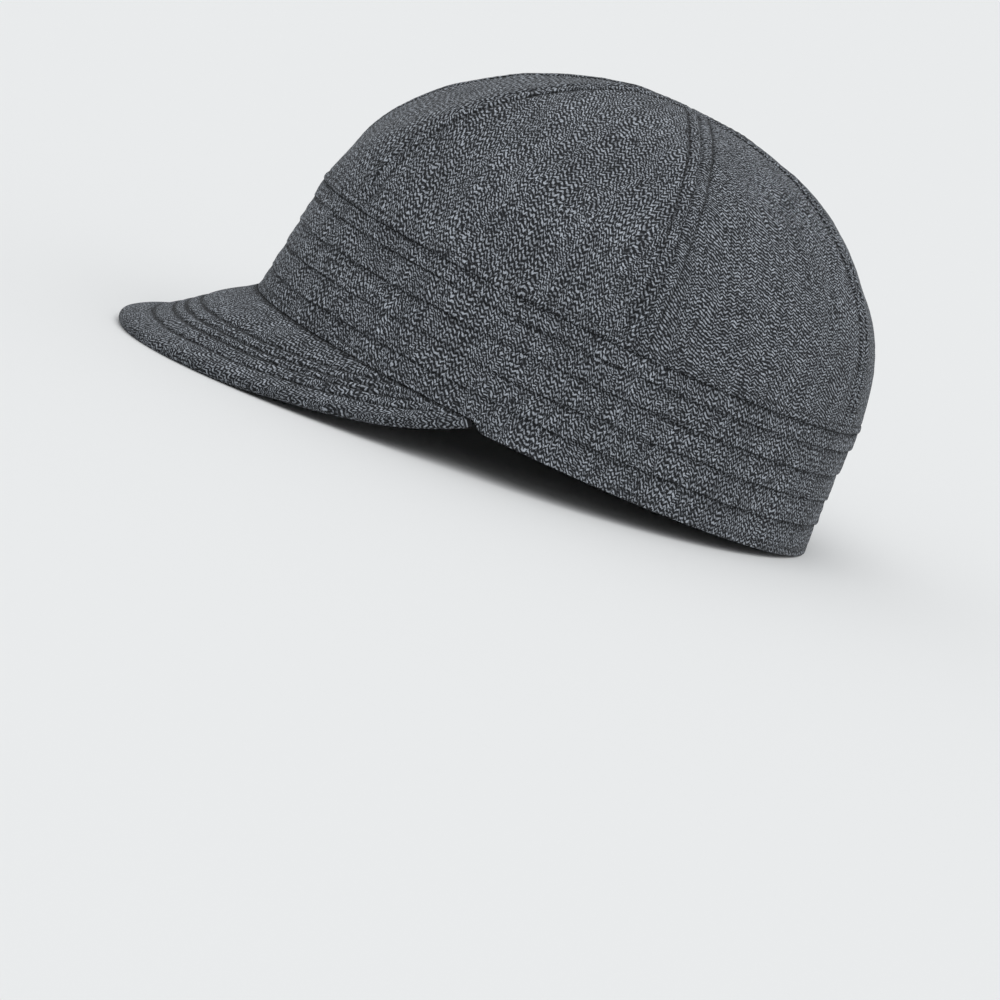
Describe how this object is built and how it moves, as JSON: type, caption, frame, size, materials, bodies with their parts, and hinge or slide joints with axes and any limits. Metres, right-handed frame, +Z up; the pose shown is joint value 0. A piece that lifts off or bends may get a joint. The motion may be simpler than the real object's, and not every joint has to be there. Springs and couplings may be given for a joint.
{
  "type": "work cap",
  "caption": "Soft cloth work cap with a panelled crown, a tucked band and a short stitched peak, open underneath for the head.",
  "frame": {"origin": "on the table, under the middle of the cap as it rests on the tip of its peak and the back of its rim", "axes": "+Z up, the peak points to -Y, the wearer's left is +X"},
  "size_m": [0.1636, 0.2488, 0.1281],
  "materials": {
    "herringbone_cloth": "matte grey herringbone weave",
    "sewing_thread": "matte dark thread"
  },
  "bodies": {
    "root": {"front_panel": "herringbone_cloth", "left_front_panel": "herringbone_cloth", "left_back_panel": "herringbone_cloth", "back_panel": "herringbone_cloth", "right_back_panel": "herringbone_cloth", "right_front_panel": "herringbone_cloth", "tucked_band": "herringbone_cloth", "peak": "herringbone_cloth"}
  },
  "joints": []
}
